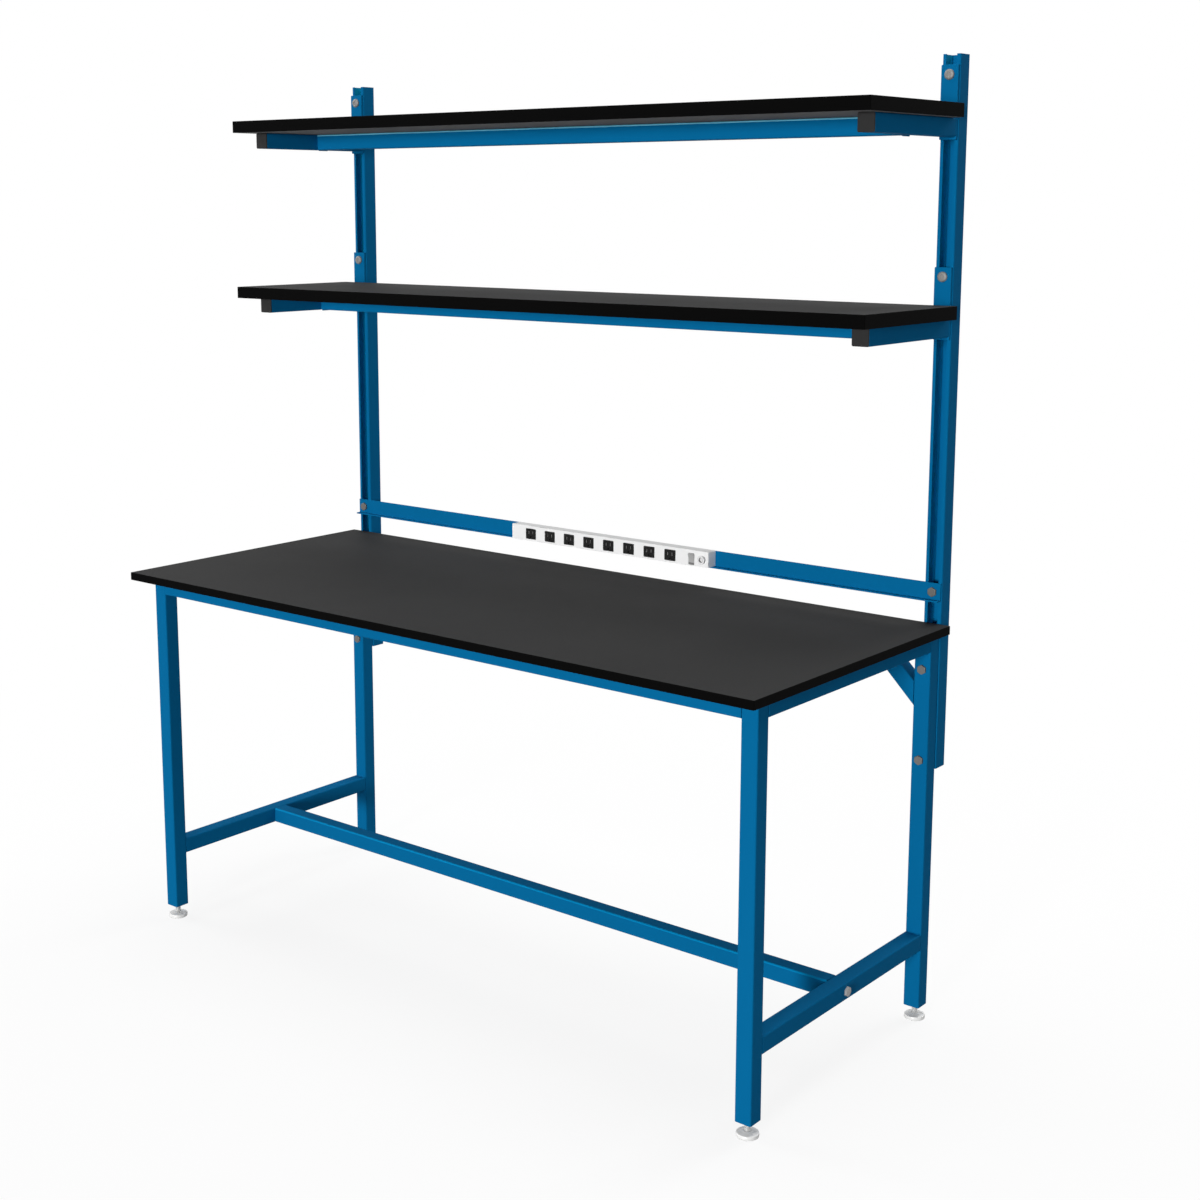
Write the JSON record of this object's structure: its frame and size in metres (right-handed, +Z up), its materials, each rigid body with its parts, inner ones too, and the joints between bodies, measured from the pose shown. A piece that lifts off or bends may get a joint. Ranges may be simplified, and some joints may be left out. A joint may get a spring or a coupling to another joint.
{
  "type": "lab bench with reagent shelf",
  "caption": "Lab bench with a dark worktop on a blue tube frame, levelling feet, slotted rear uprights, height-adjustable reagent shelves and a power strip.",
  "frame": {"origin": "bottom centre of the bench's box, on the floor", "axes": "+Z up, the bench faces -Y, +X to the right of someone facing it"},
  "size_m": [1.8288, 0.8044, 2.1009],
  "materials": {
    "frame_paint": "satin powder coat",
    "worktop_resin": "satin",
    "shelf_laminate": "satin",
    "zinc_steel": "zinc plated",
    "foot_stem_steel": "zinc plated",
    "foot_pad_steel": "polished",
    "cap_plastic": "matte",
    "outlet_plastic": "matte",
    "strip_white": "satin white paint",
    "rocker_grey": "satin",
    "reset_white": "gloss"
  },
  "bodies": {
    "frame": {"worktop": "worktop_resin", "front_left_leg": "frame_paint", "front_right_leg": "frame_paint", "rear_left_leg": "frame_paint", "rear_right_leg": "frame_paint", "front_rail": "frame_paint", "rear_rail": "frame_paint", "left_rail": "frame_paint", "right_rail": "frame_paint", "left_stretcher": "frame_paint", "right_stretcher": "frame_paint", "centre_stretcher": "frame_paint", "left_brace": "frame_paint", "right_brace": "frame_paint", "left_upright": "frame_paint", "right_upright": "frame_paint", "left_upper_leg_bolt": "zinc_steel", "left_lower_leg_bolt": "zinc_steel", "right_upper_leg_bolt": "zinc_steel", "right_lower_leg_bolt": "zinc_steel", "left_stretcher_bolt": "zinc_steel", "right_stretcher_bolt": "zinc_steel"},
    "upper_shelf": {"upper_shelf_board": "shelf_laminate", "upper_shelf_rail": "frame_paint", "upper_left_bracket": "frame_paint", "upper_left_arm_cap": "cap_plastic", "upper_left_clamp_bolt": "zinc_steel", "upper_right_bracket": "frame_paint", "upper_right_arm_cap": "cap_plastic", "upper_right_clamp_bolt": "zinc_steel"},
    "lower_shelf": {"lower_shelf_board": "shelf_laminate", "lower_shelf_rail": "frame_paint", "lower_left_bracket": "frame_paint", "lower_left_arm_cap": "cap_plastic", "lower_left_clamp_bolt": "zinc_steel", "lower_right_bracket": "frame_paint", "lower_right_arm_cap": "cap_plastic", "lower_right_clamp_bolt": "zinc_steel"},
    "power_rail": {"power_rail": "frame_paint", "power_rail_left_bolt": "zinc_steel", "power_rail_right_bolt": "zinc_steel", "strip_housing": "strip_white", "outlet_1": "outlet_plastic", "outlet_2": "outlet_plastic", "outlet_3": "outlet_plastic", "outlet_4": "outlet_plastic", "outlet_5": "outlet_plastic", "outlet_6": "outlet_plastic", "outlet_7": "outlet_plastic", "outlet_8": "outlet_plastic"},
    "power_rocker": {"power_rocker": "rocker_grey"},
    "reset_button": {"reset_button": "reset_white"},
    "front_left_foot_pad": {"front_left_foot_pad": "foot_pad_steel"},
    "front_left_foot_stem": {"front_left_foot_stem": "foot_stem_steel"},
    "front_right_foot_pad": {"front_right_foot_pad": "foot_pad_steel"},
    "front_right_foot_stem": {"front_right_foot_stem": "foot_stem_steel"},
    "rear_left_foot_pad": {"rear_left_foot_pad": "foot_pad_steel"},
    "rear_left_foot_stem": {"rear_left_foot_stem": "foot_stem_steel"},
    "rear_right_foot_pad": {"rear_right_foot_pad": "foot_pad_steel"},
    "rear_right_foot_stem": {"rear_right_foot_stem": "foot_stem_steel"}
  },
  "joints": [
    {"name": "upper_shelf_height", "type": "slide", "parent": "frame", "child": "upper_shelf", "axis": [0, 0, 1], "range_m": [-0.1, 0.018]},
    {"name": "lower_shelf_height", "type": "slide", "parent": "frame", "child": "lower_shelf", "axis": [0, 0, 1], "range_m": [-0.25, 0.1]},
    {"name": "power_rail_height", "type": "slide", "parent": "frame", "child": "power_rail", "axis": [0, 0, 1], "range_m": [-0.04, 0.15]},
    {"name": "power_rocker_tilt", "type": "hinge", "parent": "power_rail", "child": "power_rocker", "pos_m": [0.2548, 0.33, 0.9707], "axis": [1, 0, 0], "range_deg": [-18, 0]},
    {"name": "reset_button_press", "type": "slide", "parent": "power_rail", "child": "reset_button", "axis": [0, 1, 0], "range_m": [0, 0.002], "stiffness_N_per_m": 300},
    {"name": "front_left_foot_travel", "type": "slide", "parent": "frame", "child": "front_left_foot_pad", "axis": [0, 0, 1], "range_m": [-0.0097, 0.0097]},
    {"name": "front_left_foot_turn", "type": "hinge", "parent": "front_left_foot_pad", "child": "front_left_foot_stem", "pos_m": [-0.86995, -0.33015, 0.04], "axis": [0, 0, 1], "range_deg": [-1800, 1800]},
    {"name": "front_right_foot_travel", "type": "slide", "parent": "frame", "child": "front_right_foot_pad", "axis": [0, 0, 1], "range_m": [-0.0097, 0.0097]},
    {"name": "front_right_foot_turn", "type": "hinge", "parent": "front_right_foot_pad", "child": "front_right_foot_stem", "pos_m": [0.86995, -0.33015, 0.04], "axis": [0, 0, 1], "range_deg": [-1800, 1800]},
    {"name": "rear_left_foot_travel", "type": "slide", "parent": "frame", "child": "rear_left_foot_pad", "axis": [0, 0, 1], "range_m": [-0.0097, 0.0097]},
    {"name": "rear_left_foot_turn", "type": "hinge", "parent": "rear_left_foot_pad", "child": "rear_left_foot_stem", "pos_m": [-0.86995, 0.34175, 0.04], "axis": [0, 0, 1], "range_deg": [-1800, 1800]},
    {"name": "rear_right_foot_travel", "type": "slide", "parent": "frame", "child": "rear_right_foot_pad", "axis": [0, 0, 1], "range_m": [-0.0097, 0.0097]},
    {"name": "rear_right_foot_turn", "type": "hinge", "parent": "rear_right_foot_pad", "child": "rear_right_foot_stem", "pos_m": [0.86995, 0.34175, 0.04], "axis": [0, 0, 1], "range_deg": [-1800, 1800]}
  ],
  "couplings": [
    {"joint": "front_left_foot_turn", "follows": "front_left_foot_travel", "rad_per_m": 3215.6},
    {"joint": "front_right_foot_turn", "follows": "front_right_foot_travel", "rad_per_m": 3215.6},
    {"joint": "rear_left_foot_turn", "follows": "rear_left_foot_travel", "rad_per_m": 3215.6},
    {"joint": "rear_right_foot_turn", "follows": "rear_right_foot_travel", "rad_per_m": 3215.6}
  ]
}
